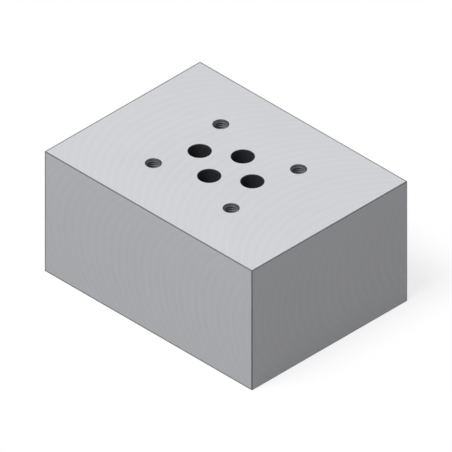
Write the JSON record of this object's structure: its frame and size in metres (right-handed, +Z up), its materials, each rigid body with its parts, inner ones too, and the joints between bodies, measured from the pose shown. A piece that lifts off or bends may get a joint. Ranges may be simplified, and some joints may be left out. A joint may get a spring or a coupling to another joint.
{
  "type": "hydraulic manifold block",
  "caption": "Rectangular machined block that carries a directional valve on its drilled and tapped top face and links it by cross-drilled galleries to threaded ports in one end and the back.",
  "frame": {"origin": "centre of the base", "axes": "+X along the block, away from the P and T ports; +Y across it, towards the A and B ports; +Z up, out of the valve face"},
  "size_m": [0.1, 0.075, 0.05],
  "materials": {
    "aluminium": "fine-milled, pale grey, matt"
  },
  "bodies": {
    "root": {"manifold_block": "aluminium"}
  },
  "joints": []
}
